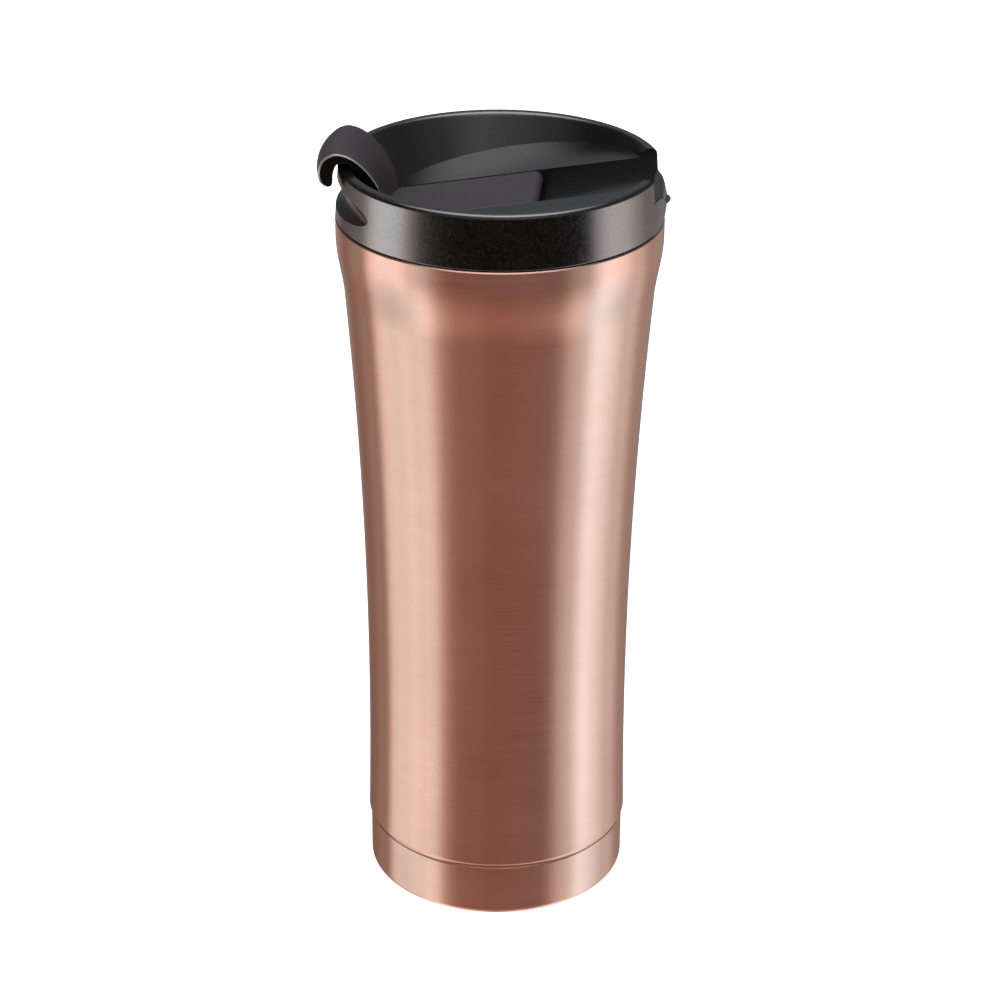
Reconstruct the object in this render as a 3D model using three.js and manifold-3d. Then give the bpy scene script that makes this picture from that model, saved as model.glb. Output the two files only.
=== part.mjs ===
// Insulated tumbler with a screw-in flip-lever lid. Millimetres, +Z up.
// The origin is the centre of the underside.
// The lever lies along X: its hook hangs over the rim at -X, and it folds back into the rim notch at +X.
import * as THREE from "three";
import { mergeVertices } from "three/addons/utils/BufferGeometryUtils.js";
import Module from "manifold-3d";

const wasm = await Module();
wasm.setup();

// ---- Driving dimensions ----
const GAP = 0.3; // clearance between neighbouring pieces
const ROUND = 40; // facets of every large round surface
const SMALL_ROUND = 20; // facets of pins, tubes and stoppers
const FAR = 60; // sideways reach of cutting blocks, past everything
const BELOW = 150; // heights below and above the whole lid
const ABOVE = 230;

// Body
const BAND_RADIUS = 35.0; // lower band
const BAND_TOP = 16.6; // step between the lower band and the waisted wall
const WAIST_RADIUS = 35.11;
const WAIST_Z = 52;
const WAIST_CURVE = 1400; // radius of the wall's long inward curve
const SHOULDER_FOOT_Z = 170; // the long curve ends and the shoulder starts
const COLLAR_RADIUS = 42.2;
const COLLAR_FOOT_Z = 186;
const LIP_Z = 190.5; // top of the cup
const STEEL = 0.5; // sheet thickness
const WALL_SPACE = 3.0; // vacuum space between the two walls
const CAP_SHEET = 0.8; // sheet of the base cap
const NECK_HEIGHT = 4.5; // the cap's neck stands this far up inside the wall
const DIMPLE_RISE = 1.4; // sealing dimple in the middle of the base cap
const SEAL_HOLE = 0.8; // radius of the hole the air is drawn out through

// Inner wall
const LINER_FOOT_Z = 14;
const LINER_FLOOR_Z = 10.4;
const LINER_BEND = 3;
const LEDGE_FOOT = [36.8, 173.2]; // radius and height where the sealing ledge starts
const LEDGE_TOP_Z = 176.5;
const MOUTH_RADIUS = 39.3;

// Screw thread
const THREAD_LEAD = 7;
const MALE_CREST = 38.8;
const FEMALE_CREST = 38.3;
const MALE_START_Z = 180.5;
const THREAD_FOOT = 2.2; // axial width at the ridge's root
const THREAD_TIP = 1.1; // axial width at the ridge's crest
const THREAD_RUN_OUT = 0.35; // width of both ends of a ridge, as a share of its full width
const STEPS_PER_TURN = 24;

// Lid
const LID_FOOT_Z = 190.8;
const RIM_Z = 205;
const LID_RADIUS_LOW = 42.1;
const LID_RADIUS_TOP = 41.3;
const RIM_SOLID_Z = 197.5; // the rim is solid above this height
const BAND_INNER_RADIUS = 40.0;
const BOWL_TOP = [37.3, 202.7]; // radius and height of the bowl wall's upper edge
const BOWL_SLOPE = 0.457; // bowl wall, radius per unit of height
const BOWL_FOOT_Z = 189;
const BOWL_WALL_RADIUS = 34.6;
const BOWL_WALL_Z = 192.4; // the bowl wall's outer side turns inwards here
const LID_WALL = 2.2;
const SCOOP_Z = 197.4; // finger scoop in the band
const SCOOP_DEPTH = 2.9;
const SCOOP_HALF = [28.5, 3.7]; // half sizes across and in height
const SCOOP_TUBE = 4.05; // radius of the groove's section
const LUG_SIZE = [2.0, 4.0, 2.2];
const LUG_Z = 197.1;
const CATCH_RADIUS = 42.5; // thickened band under the notch

// The bowl floor and the lever lie on a plane that rises towards +X, the open channel on a steeper one
const FLOOR_Z = 196.8; // height of the bowl floor on the axis
const FLOOR_TILT = Math.atan(0.163);
const CHANNEL_Z = 191.6; // height of the channel floor, continued to the axis
const CHANNEL_TILT = Math.atan(0.211);
const CHANNEL_HALF = 12.2;
const POCKET_DEPTH = 4.7; // lever pocket, below the bowl floor
const POCKET_RADIUS = 32.8;

// Lever
const LEVER_HALF = CHANNEL_HALF - GAP;
const LEVER_THICK = POCKET_DEPTH - GAP;
const PLATE_RADIUS = 31.2; // round end of the flat part, inside the hook's root
const HINGE_X = 8;
const BARREL_RADIUS = LEVER_THICK / 2;
const PIN_RADIUS = 0.9;
const PIN_BORE_RADIUS = 1.15;
const PIN_HALF = 14.0;

// Section of the lever's hook as [radius, height]: from the tip over the rim and down to the flat part
const HOOK_TIP = [
  [43.1, 200.9],
  [43.8, 200.3],
  [45.2, 200.4],
  [46.3, 201.4],
  [46.6, 203.6],
  [46.2, 205.9],
];
const HOOK_OVER = [
  [45.1, 207.6],
  [43.4, 208.8],
  [41.6, 209.0],
  [38.6, 208.0],
  [35.6, 205.7],
  [32.6, 201.8],
  [30.5, 197.2],
  [29.5, 192.4],
];
const HOOK_ROOT = [
  [29.5, 188.6],
  [31.2, 187.6],
];
const HOOK_UNDER = [
  [31.9, 190.0],
  [32.9, 196.3],
  [34.5, 200.6],
  [36.7, 204.0],
  [39.2, 206.1],
  [41.0, 206.5],
  [42.3, 205.8],
  [43.0, 203.6],
];

// Seal carrier, in a recess under the lever
const CARRIER_S = [-29, -2.5];
const CARRIER_HALF = 8.6;
const RECESS_ROOF = -1.6;
const HEAD_TOP = RECESS_ROOF - GAP;
const HEAD_THICK = 1.0;
const CARRIER_TOP = HEAD_TOP - HEAD_THICK - GAP;

// Drinking hole and vent hole, along the lever plane
const SPOUT_S = -22;
const SPOUT_HALF = [4.5, 6.5]; // half sizes along and across the lever
const VENT_S = -6;
const VENT_RADIUS = 2.0;

// Plug
const PLUG_RADIUS = 37.2;
const PLUG_WALL = 1.8;
const PLUG_FOOT_Z = 172.5;
const PLUG_WAIST_RADIUS = 35.4; // seat of the gasket
const PLUG_STEP_Z = 178.3;
const PLUG_FLANGE = [39.7, 192.0]; // outer radius and top height
const PLUG_FOOT_RADIUS = 36.3; // lip under the gasket
const PLUG_FLOOR = 2.0;
const VENT_WALL = 1.4;
const SEAL_THICK = 1.8;

// Underside
const PAD_RADIUS = 29.7;
const PAD_THICK = 1.9;
const GETTER_X = 17;
const CLIP_Z = 3.3;
const CLIP_SHEET = 0.4;

// ---- Materials ----
const LOOKS = {
  roseSteel: { color: 0xc48f78, roughness: 0.32, metalness: 1 },
  plainSteel: { color: 0xb9b9b8, roughness: 0.35, metalness: 1 },
  foil: { color: 0xd9d9da, roughness: 0.2, metalness: 1 },
  getter: { color: 0x5b5b5e, roughness: 0.8, metalness: 0.3 },
  solderGlass: { color: 0x3c4a44, roughness: 0.15, metalness: 0 },
  blackPlastic: { color: 0x1d1c1e, roughness: 0.42, metalness: 0 },
  leverPlastic: { color: 0x3a383b, roughness: 0.5, metalness: 0 },
  silicone: { color: 0x2a2a2c, roughness: 0.65, metalness: 0 },
};

// ---- Solids ----
// A geometry as a manifold solid, so that it can be joined and cut.
function solid(geometry) {
  const bare = geometry.clone();
  bare.deleteAttribute("normal");
  bare.deleteAttribute("uv");
  const merged = mergeVertices(bare, 1e-4);
  return new wasm.Manifold(
    new wasm.Mesh({
      numProp: 3,
      vertProperties: new Float32Array(merged.attributes.position.array),
      triVerts: new Uint32Array(merged.index.array),
    }),
  );
}

function geometryOf(body) {
  const mesh = body.getMesh();
  const geometry = new THREE.BufferGeometry();
  geometry.setAttribute("position", new THREE.BufferAttribute(mesh.vertProperties, 3));
  geometry.setIndex(new THREE.BufferAttribute(mesh.triVerts, 1));
  return geometry;
}

function union(...bodies) {
  return bodies.reduce((sum, body) => sum.add(body));
}

function cut(body, ...tools) {
  return tools.reduce((left, tool) => left.subtract(tool), body);
}

// A ring or disc turned about Z from its section, a list of [radius, height] in counter-clockwise order.
function turned(section, facets = ROUND) {
  const points = section.map(([r, z]) => new THREE.Vector2(r, z));
  if (section[0][0] > 0) points.push(points[0].clone());
  return new THREE.LatheGeometry(points, facets).rotateX(Math.PI / 2);
}

function turnedSolid(section, facets = ROUND) {
  return solid(turned(section, facets));
}

function boxSolid([x0, x1], [y0, y1], [z0, z1]) {
  const box = new THREE.BoxGeometry(x1 - x0, y1 - y0, z1 - z0);
  return solid(box.translate((x0 + x1) / 2, (y0 + y1) / 2, (z0 + z1) / 2));
}

// An upright oval prism or cone, centred on s along the lever.
function ovalSolid(s, [halfS, halfY], [z0, z1], footScale = 1, facets = SMALL_ROUND) {
  const oval = new THREE.CylinderGeometry(1, footScale, z1 - z0, facets).rotateX(Math.PI / 2);
  return solid(oval.scale(halfS, halfY, 1).translate(s, 0, (z0 + z1) / 2));
}

// An upright cylinder through the whole lid, to limit other shapes.
function roundLimit(radius) {
  return turnedSolid([[0, BELOW], [radius, BELOW], [radius, ABOVE], [0, ABOVE]]);
}

function crossPin(radius, half, x, z) {
  const pin = new THREE.CylinderGeometry(radius, radius, 2 * half, SMALL_ROUND);
  return pin.translate(x, 0, z);
}

const degrees = (angle) => THREE.MathUtils.radToDeg(angle);

// From lever-plane coordinates (s along, n upwards) to the object's frame.
const onFloor = (body) => body.rotate([0, -degrees(FLOOR_TILT), 0]).translate([0, 0, FLOOR_Z]);
const onChannel = (body) =>
  body.rotate([0, -degrees(CHANNEL_TILT), 0]).translate([0, 0, CHANNEL_Z]);

// A wide slab of the lever plane between two levels below the bowl floor.
const floorSlab = (low, high) => onFloor(boxSolid([-FAR, FAR], [-FAR, FAR], [low, high]));

function arc([r, z], radius, fromDeg, toDeg, steps) {
  return Array.from({ length: steps + 1 }, (_, i) => {
    const angle = THREE.MathUtils.degToRad(fromDeg + ((toDeg - fromDeg) * i) / steps);
    return [r + radius * Math.cos(angle), z + radius * Math.sin(angle)];
  });
}

// ---- Profiles ----
// Outer radius of the waisted wall up to the shoulder.
function waistRadius(z) {
  const rise = z - WAIST_Z;
  return WAIST_RADIUS + WAIST_CURVE - Math.sqrt(WAIST_CURVE ** 2 - rise ** 2);
}

// The S-shaped shoulder from the waisted wall to the straight collar, set inwards by inset.
function shoulder(inset, steps) {
  const foot = waistRadius(SHOULDER_FOOT_Z);
  const slope = (SHOULDER_FOOT_Z - WAIST_Z) / WAIST_CURVE;
  const reach = 6;
  const curve = new THREE.CubicBezierCurve(
    new THREE.Vector2(foot, SHOULDER_FOOT_Z),
    new THREE.Vector2(foot + reach * slope, SHOULDER_FOOT_Z + reach),
    new THREE.Vector2(COLLAR_RADIUS, COLLAR_FOOT_Z - reach),
    new THREE.Vector2(COLLAR_RADIUS, COLLAR_FOOT_Z),
  );
  return curve.getPoints(steps).map((point) => [point.x - inset, point.y]);
}

function waisted(fromZ, toZ, inset, steps) {
  return Array.from({ length: steps + 1 }, (_, i) => {
    const z = fromZ + ((toZ - fromZ) * i) / steps;
    return [waistRadius(z) - inset, z];
  });
}

const bowlRadius = (z) => BOWL_TOP[0] - BOWL_SLOPE * (BOWL_TOP[1] - z);

// ---- Screw thread ----
// A helical ridge between two radii: wide at rootRadius and narrow at crestRadius.
function threadRidge(rootRadius, crestRadius, startZ, startTurn, turns) {
  const steps = Math.round(turns * STEPS_PER_TURN);
  const section = [
    [rootRadius, -THREAD_FOOT / 2],
    [crestRadius, -THREAD_TIP / 2],
    [crestRadius, THREAD_TIP / 2],
    [rootRadius, THREAD_FOOT / 2],
  ];
  if (crestRadius < rootRadius) section.reverse();
  const positions = [];
  for (let i = 0; i <= steps; i += 1) {
    const turn = startTurn + (turns * i) / steps;
    const angle = turn * 2 * Math.PI;
    const width = Math.min(i, steps - i) < 2 ? THREAD_RUN_OUT : 1;
    const middle = startZ + THREAD_LEAD * turn;
    for (const [r, dz] of section) {
      positions.push(r * Math.cos(angle), r * Math.sin(angle), middle + dz * width);
    }
  }
  const index = [0, 1, 2, 0, 2, 3];
  for (let i = 0; i < steps; i += 1) {
    for (let k = 0; k < 4; k += 1) {
      const a = 4 * i + k;
      const b = 4 * i + ((k + 1) % 4);
      index.push(a, a + 4, b, b, a + 4, b + 4);
    }
  }
  const last = 4 * steps;
  index.push(last, last + 2, last + 1, last, last + 3, last + 2);
  const ridge = new THREE.BufferGeometry();
  ridge.setAttribute("position", new THREE.Float32BufferAttribute(positions, 3));
  ridge.setIndex(index);
  return solid(ridge);
}

// ---- Cup ----
function outerShell() {
  const foot = BAND_TOP + GAP;
  const side = (inset) => [
    ...waisted(foot, SHOULDER_FOOT_Z, inset, 7),
    ...shoulder(inset, 4).slice(1),
    [COLLAR_RADIUS - inset, LIP_Z],
  ];
  return turned([...side(0), ...side(STEEL).reverse()]);
}

function baseCap() {
  const neck = waistRadius(BAND_TOP) - STEEL - GAP;
  const neckTop = BAND_TOP + NECK_HEIGHT;
  const floor = PAD_THICK + GAP;
  const recess = PAD_RADIUS + GAP;
  const foot = 0.5;
  const bend = 1.5;
  const inner = BAND_RADIUS - CAP_SHEET - 0.3;
  const outside = [
    [SEAL_HOLE, floor + DIMPLE_RISE],
    [5, floor + DIMPLE_RISE],
    [6, floor],
    [recess, floor],
    [recess, foot],
    ...arc([BAND_RADIUS - bend, foot + bend], bend, -90, 0, 3),
    [BAND_RADIUS, BAND_TOP],
    [neck, BAND_TOP],
    [neck, neckTop],
  ];
  const inside = [
    [neck - CAP_SHEET, neckTop],
    [inner, BAND_TOP - 1],
    [inner, floor + CAP_SHEET + bend],
    [inner - bend, floor + CAP_SHEET],
    [7, floor + CAP_SHEET],
    [6, floor + DIMPLE_RISE + CAP_SHEET],
    [SEAL_HOLE, floor + DIMPLE_RISE + CAP_SHEET],
  ];
  return turned([...outside, ...inside]);
}

const LINER_INSET = 2 * STEEL + WALL_SPACE;

const linerFootRadius = () => waistRadius(LINER_FOOT_Z) - LINER_INSET - LINER_BEND;

// The inner wall from the bend round its floor to the lip, with the thread for the lid.
function linerWall() {
  const top = SHOULDER_FOOT_Z - 2;
  const foot = linerFootRadius();
  const inside = [
    [foot, LINER_FLOOR_Z + STEEL],
    [foot + 0.7 * LINER_BEND, LINER_FLOOR_Z + 1.5],
    ...waisted(LINER_FOOT_Z, top, LINER_INSET, 6),
    LEDGE_FOOT,
    [MOUTH_RADIUS, LEDGE_TOP_Z],
    [MOUTH_RADIUS, LIP_Z - 0.6],
    [MOUTH_RADIUS + 0.6, LIP_Z],
    [COLLAR_RADIUS - STEEL - GAP, LIP_Z],
  ];
  const outside = [
    [foot, LINER_FLOOR_Z],
    [foot + 0.85 * LINER_BEND, LINER_FLOOR_Z + 1],
    ...waisted(LINER_FOOT_Z, top, LINER_INSET - STEEL, 6),
    [LEDGE_FOOT[0] + STEEL, LEDGE_FOOT[1] - 0.3],
    [MOUTH_RADIUS + STEEL, LEDGE_TOP_Z - 0.3],
    [MOUTH_RADIUS + STEEL, LIP_Z - 1.0],
    [MOUTH_RADIUS + 0.9, LIP_Z - STEEL],
    [COLLAR_RADIUS - STEEL - GAP, LIP_Z - STEEL],
  ];
  const wall = turnedSolid([...outside, ...inside.reverse()]);
  // The rolled thread starts half a turn back, so that it lies half a lead away from the plug's ridge
  const start = MALE_START_Z + THREAD_LEAD / 2;
  const ridge = threadRidge(MOUTH_RADIUS + 0.2, FEMALE_CREST, start, -0.5, 0.95);
  return geometryOf(union(wall, ridge));
}

function linerBottom() {
  const edge = linerFootRadius() - GAP;
  const top = LINER_FLOOR_Z + STEEL;
  return turned([[0, LINER_FLOOR_Z], [edge, LINER_FLOOR_Z], [edge, top], [0, top]]);
}

function heatFoil() {
  const [foot, top] = [22, 160];
  const inner = LINER_INSET - STEEL - GAP;
  const thick = 0.3;
  return turned([
    ...waisted(foot, top, inner - thick, 4),
    ...waisted(foot, top, inner, 4).reverse(),
  ]);
}

function getterClip() {
  const radius = 5.2;
  const top = CLIP_Z + 2.5;
  const clip = [
    [0, CLIP_Z],
    [radius, CLIP_Z],
    [radius, top],
    [radius - CLIP_SHEET, top],
    [radius - CLIP_SHEET, CLIP_Z + CLIP_SHEET],
    [0, CLIP_Z + CLIP_SHEET],
  ];
  return turned(clip, SMALL_ROUND).translate(GETTER_X, 0, 0);
}

function getterPellet() {
  const [radius, height] = [4.4, 2.0];
  const pellet = new THREE.CylinderGeometry(radius, radius, height, SMALL_ROUND);
  const middle = CLIP_Z + CLIP_SHEET + GAP + height / 2;
  return pellet.rotateX(Math.PI / 2).translate(GETTER_X, 0, middle);
}

// A bead of solder glass that fills the dimple under the base cap.
function sealBead() {
  const roof = PAD_THICK + DIMPLE_RISE;
  const bead = [
    [0, roof - 1.0],
    [2.4, roof - 0.8],
    [3.4, roof - 0.3],
    [3.4, roof],
    [0, roof],
  ];
  return turned(bead, SMALL_ROUND);
}

function footPad() {
  const edge = 0.3;
  return turned([
    [0, 0],
    [PAD_RADIUS - edge, 0],
    [PAD_RADIUS, edge],
    [PAD_RADIUS, PAD_THICK],
    [0, PAD_THICK],
  ]);
}

// ---- Lid ----
// Section of the band, the rim and the bowl wall, with the hollow between them open below.
function rimRing() {
  const hollowRadius = bowlRadius(RIM_SOLID_Z) + 2;
  const edge = 1.1;
  return turnedSolid([
    [LID_RADIUS_LOW, LID_FOOT_Z],
    ...arc([LID_RADIUS_TOP - edge, RIM_Z - edge], edge, 0, 90, 3),
    [LID_RADIUS_TOP - 2.3, RIM_Z],
    [BOWL_TOP[0] + 0.5, RIM_Z - 0.8],
    BOWL_TOP,
    [bowlRadius(BOWL_FOOT_Z), BOWL_FOOT_Z],
    [BOWL_WALL_RADIUS, BOWL_FOOT_Z],
    [BOWL_WALL_RADIUS, BOWL_WALL_Z],
    [hollowRadius, RIM_SOLID_Z],
    [BAND_INNER_RADIUS, RIM_SOLID_Z],
    [BAND_INNER_RADIUS, LID_FOOT_Z],
  ]);
}

// The finger scoop is a groove round the band, tapered to an ellipse as seen from -X.
function scoopShape([halfWidth, halfHeight], tubeRadius) {
  const bandRadius = (LID_RADIUS_LOW + LID_RADIUS_TOP) / 2;
  const centre = bandRadius - SCOOP_DEPTH + SCOOP_TUBE;
  const groove = turnedSolid(arc([centre, SCOOP_Z], tubeRadius, 0, 345, 23));
  const outline = new THREE.CylinderGeometry(1, 1, FAR, 32).rotateZ(Math.PI / 2);
  const lens = outline.scale(1, halfWidth, halfHeight).translate(-FAR / 2, 0, SCOOP_Z);
  return groove.intersect(solid(lens));
}

// The bowl's tilted floor reaches into the bowl wall all round, high at +X and low at -X.
function bowlFloor() {
  const foot = 170;
  const hollowRadius = 32.4;
  const disc = turnedSolid([
    [0, foot],
    [BOWL_WALL_RADIUS, foot],
    [BOWL_WALL_RADIUS, BOWL_WALL_Z],
    [BOWL_TOP[0] + 1, BOWL_TOP[1]],
    [0, BOWL_TOP[1]],
  ]);
  const slab = disc.intersect(floorSlab(-POCKET_DEPTH - LID_WALL, 0));
  // Hollows under the bowl floor on both sides of the channel
  const under = floorSlab(-20, -LID_WALL).intersect(roundLimit(hollowRadius));
  const side = CHANNEL_HALF + LID_WALL;
  const left = under.intersect(boxSolid([-FAR, FAR], [side, FAR], [BELOW, ABOVE]));
  const right = under.intersect(boxSolid([-FAR, FAR], [-FAR, -side], [BELOW, ABOVE]));
  return cut(slab, left, right);
}

// What lies above the notch's floor where it falls away to the outside, seen along Y.
function notchFall() {
  const top = 212;
  const outline = [
    [38.2, 199.7],
    [41.6, 198.2],
    [42.8, 197.0],
    [50, 197.0],
    [50, top],
    [38.2, top],
  ];
  const shape = new THREE.Shape(outline.map(([x, z]) => new THREE.Vector2(x, z)));
  const settings = { depth: 2 * CHANNEL_HALF, bevelEnabled: false };
  const block = new THREE.ExtrudeGeometry(shape, settings).rotateX(Math.PI / 2);
  return solid(block.translate(0, CHANNEL_HALF, 0));
}

// The band is a little thicker under the notch.
function catchPanel() {
  const inner = LID_RADIUS_LOW - 1.5;
  const panel = turnedSolid([
    [inner, LID_FOOT_Z],
    [LID_RADIUS_LOW, LID_FOOT_Z],
    [CATCH_RADIUS, LID_FOOT_Z + 1.5],
    [CATCH_RADIUS, 199],
    [inner, 199],
  ]);
  return panel.intersect(boxSolid([0, FAR], [-CHANNEL_HALF, CHANNEL_HALF], [BELOW, ABOVE]));
}

function catchLug() {
  const lug = new THREE.SphereGeometry(1, 12, 8).scale(...LUG_SIZE);
  return solid(lug.translate(LID_RADIUS_TOP + 0.2, 0, LUG_Z));
}

function lidShell() {
  const channelSides = [-CHANNEL_HALF, CHANNEL_HALF];
  const clear = 40; // the cuts are open above
  const pocket = onFloor(boxSolid([-FAR, HINGE_X], channelSides, [-POCKET_DEPTH, clear]));
  const channel = onChannel(boxSolid([HINGE_X - 2, FAR], channelSides, [0, clear]));
  const barrel = solid(crossPin(BARREL_RADIUS + GAP, CHANNEL_HALF, HINGE_X, hingeZ()));
  const scoop = scoopShape(SCOOP_HALF, SCOOP_TUBE);
  const backingSize = [SCOOP_HALF[0] + 2, SCOOP_HALF[1] + 1.5];
  const backing = scoopShape(backingSize, 7.2).intersect(roundLimit(BAND_INNER_RADIUS + 1));
  const spout = onFloor(ovalSolid(SPOUT_S, SPOUT_HALF, [-12, 4]));
  const vent = onFloor(ovalSolid(VENT_S, [VENT_RADIUS, VENT_RADIUS], [-12, 4]));
  const bore = solid(crossPin(PIN_BORE_RADIUS, PIN_HALF + GAP, HINGE_X, hingeZ()));
  const body = union(rimRing(), bowlFloor(), backing, catchPanel(), catchLug());
  const pocketEnd = pocket.intersect(roundLimit(POCKET_RADIUS));
  const openings = [pocketEnd, channel, barrel, notchFall(), scoop, spout, vent, bore];
  return geometryOf(cut(body, ...openings));
}

// The lever's pin lies at mid thickness of the flat part.
function hingeZ() {
  const alongX = FLOOR_Z + HINGE_X * Math.tan(FLOOR_TILT);
  return alongX - LEVER_THICK / 2 / Math.cos(FLOOR_TILT);
}

function lidPlug() {
  const [flangeRadius, flangeTop] = PLUG_FLANGE;
  const gasketSeat = PLUG_FOOT_Z + 2.1;
  const cup = turnedSolid([
    [0, PLUG_FOOT_Z],
    [PLUG_FOOT_RADIUS, PLUG_FOOT_Z],
    [PLUG_FOOT_RADIUS, gasketSeat],
    [PLUG_WAIST_RADIUS, gasketSeat],
    [PLUG_WAIST_RADIUS, PLUG_STEP_Z],
    [PLUG_RADIUS, PLUG_STEP_Z],
    [PLUG_RADIUS, LID_FOOT_Z],
    [flangeRadius, LID_FOOT_Z],
    [flangeRadius, flangeTop],
    [PLUG_RADIUS - PLUG_WALL, flangeTop],
    [PLUG_RADIUS - PLUG_WALL, PLUG_STEP_Z + 2],
    [PLUG_WAIST_RADIUS - PLUG_WALL, PLUG_STEP_Z],
    [PLUG_WAIST_RADIUS - PLUG_WALL, PLUG_FOOT_Z + PLUG_FLOOR],
    [0, PLUG_FOOT_Z + PLUG_FLOOR],
  ]);
  const ridge = threadRidge(PLUG_RADIUS - 0.2, MALE_CREST, MALE_START_Z, 0, 1.05);
  const top = -POCKET_DEPTH - LID_WALL - 2 * GAP - SEAL_THICK;
  const keep = boxSolid([-FAR, FAR], [-FAR, FAR], [PLUG_FOOT_Z + 1, ABOVE]);
  const tubeOf = (s, half, wall) => {
    const outside = half.map((size) => size + wall);
    return onFloor(ovalSolid(s, outside, [-30, top])).intersect(keep);
  };
  const ventHalf = [VENT_RADIUS, VENT_RADIUS];
  const chimney = tubeOf(SPOUT_S, SPOUT_HALF, PLUG_WALL);
  const ventTube = tubeOf(VENT_S, ventHalf, VENT_WALL);
  const spout = onFloor(ovalSolid(SPOUT_S, SPOUT_HALF, [-40, 10]));
  const vent = onFloor(ovalSolid(VENT_S, ventHalf, [-40, 10]));
  return geometryOf(cut(union(cup, ridge, chimney, ventTube), spout, vent));
}

// A flat silicone ring between a tube of the plug and the underside of the lid shell.
function tubeSeal(s, [halfS, halfY], width) {
  const high = -POCKET_DEPTH - LID_WALL - GAP;
  const low = high - SEAL_THICK;
  const clear = 0.2;
  const outer = ovalSolid(s, [halfS + width, halfY + width], [low, high]);
  const inner = ovalSolid(s, [halfS + clear, halfY + clear], [low - 1, high + 1]);
  return geometryOf(onFloor(cut(outer, inner)));
}

// A silicone ring with two sealing lips.
function lidGasket() {
  const foot = PLUG_FOOT_Z + 2.5;
  const top = PLUG_STEP_Z - GAP;
  const inner = PLUG_WAIST_RADIUS + GAP;
  const [lip, valley, edge] = [37.8, 36.9, 37.2];
  return turned([
    [inner, foot],
    [edge, foot],
    [lip, foot + 0.8],
    [lip, foot + 1.4],
    [valley, foot + 1.8],
    [lip, foot + 2.2],
    [lip, top - 0.4],
    [edge, top],
    [inner, top],
  ]);
}

// ---- Lever ----
// The hook is turned about the cup's axis, so it follows the rim at one gap all along its width.
function hookSection() {
  const smooth = (points) =>
    new THREE.SplineCurve(points.map(([r, z]) => new THREE.Vector2(r, z)))
      .getPoints(10)
      .map((point) => [point.x, point.y]);
  return [...HOOK_TIP, ...smooth(HOOK_OVER), ...HOOK_ROOT, ...smooth(HOOK_UNDER)];
}

function flipLever() {
  const foot = -LEVER_THICK;
  const sides = [-LEVER_HALF, LEVER_HALF];
  const plate = onFloor(boxSolid([-40, HINGE_X / Math.cos(FLOOR_TILT)], sides, [foot, 0]));
  const flat = plate.intersect(roundLimit(PLATE_RADIUS));
  const hookSide = boxSolid([-FAR, 0], sides, [BELOW, ABOVE]);
  const hook = turnedSolid(hookSection(), 72).intersect(hookSide);
  const barrel = solid(crossPin(BARREL_RADIUS, LEVER_HALF, HINGE_X, hingeZ()));
  const bore = solid(crossPin(PIN_BORE_RADIUS, CHANNEL_HALF + 1, HINGE_X, hingeZ()));
  const along = [CARRIER_S[0] - GAP, CARRIER_S[1] + GAP];
  const across = [-CARRIER_HALF - GAP, CARRIER_HALF + GAP];
  const recess = onFloor(boxSolid(along, across, [foot - 5, RECESS_ROOF]));
  return geometryOf(cut(union(flat, hook, barrel), bore, recess));
}

function sealCarrier() {
  const plate = boxSolid(CARRIER_S, [-CARRIER_HALF, CARRIER_HALF], [-LEVER_THICK, CARRIER_TOP]);
  const [halfS, halfY] = SPOUT_HALF;
  const spout = ovalSolid(SPOUT_S, [halfS, halfY], [-10, 0]);
  const vent = ovalSolid(VENT_S, [VENT_RADIUS, VENT_RADIUS], [-10, 0]);
  return geometryOf(onFloor(cut(plate, spout, vent)));
}

// A mushroom-shaped stopper: its head lies above the carrier and its tapered stem reaches into the hole.
function stopper(s, [halfS, halfY], reach, taper, headEdge) {
  const headFoot = HEAD_TOP - HEAD_THICK;
  const head = ovalSolid(s, [halfS + headEdge, halfY + headEdge], [headFoot, HEAD_TOP]);
  const stem = ovalSolid(s, [halfS, halfY], [-POCKET_DEPTH - reach, headFoot + 0.2], taper);
  return geometryOf(onFloor(union(head, stem)));
}

const STEM_CLEAR = 0.4; // play round a stem in its hole
const SPOUT_STEM = SPOUT_HALF.map((half) => half - STEM_CLEAR);
const VENT_STEM = [VENT_RADIUS - STEM_CLEAR, VENT_RADIUS - STEM_CLEAR];
const spoutStopper = () => stopper(SPOUT_S, SPOUT_STEM, 2.2, 0.9, 1.2);
const ventStopper = () => stopper(VENT_S, VENT_STEM, 1.2, 0.7, 0.9);

// ---- Assembly ----
const materials = Object.fromEntries(
  Object.entries(LOOKS).map(([name, look]) => [name, new THREE.MeshStandardMaterial({ name, ...look })]),
);

function piece(name, geometry, look) {
  const mesh = new THREE.Mesh(geometry, materials[look]);
  mesh.name = name;
  return mesh;
}

function groupOf(...pieces) {
  const holder = new THREE.Group();
  holder.add(...pieces);
  return holder;
}

const cup = groupOf(
  piece("outer_shell", outerShell(), "roseSteel"),
  piece("base_cap", baseCap(), "roseSteel"),
  piece("liner_wall", linerWall(), "plainSteel"),
  piece("liner_bottom", linerBottom(), "plainSteel"),
  piece("heat_foil", heatFoil(), "foil"),
  piece("getter_clip", getterClip(), "plainSteel"),
  piece("getter_pellet", getterPellet(), "getter"),
  piece("vacuum_seal_bead", sealBead(), "solderGlass"),
  piece("foot_pad", footPad(), "silicone"),
);

const lid = groupOf(
  piece("lid_shell", lidShell(), "blackPlastic"),
  piece("lid_plug", lidPlug(), "blackPlastic"),
  piece("lid_gasket", lidGasket(), "silicone"),
  piece("spout_seal", tubeSeal(SPOUT_S, SPOUT_HALF, 1.7), "silicone"),
  piece("vent_seal", tubeSeal(VENT_S, [VENT_RADIUS, VENT_RADIUS], 1.3), "silicone"),
  piece("hinge_pin", crossPin(PIN_RADIUS, PIN_HALF, HINGE_X, hingeZ()), "plainSteel"),
);

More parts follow.
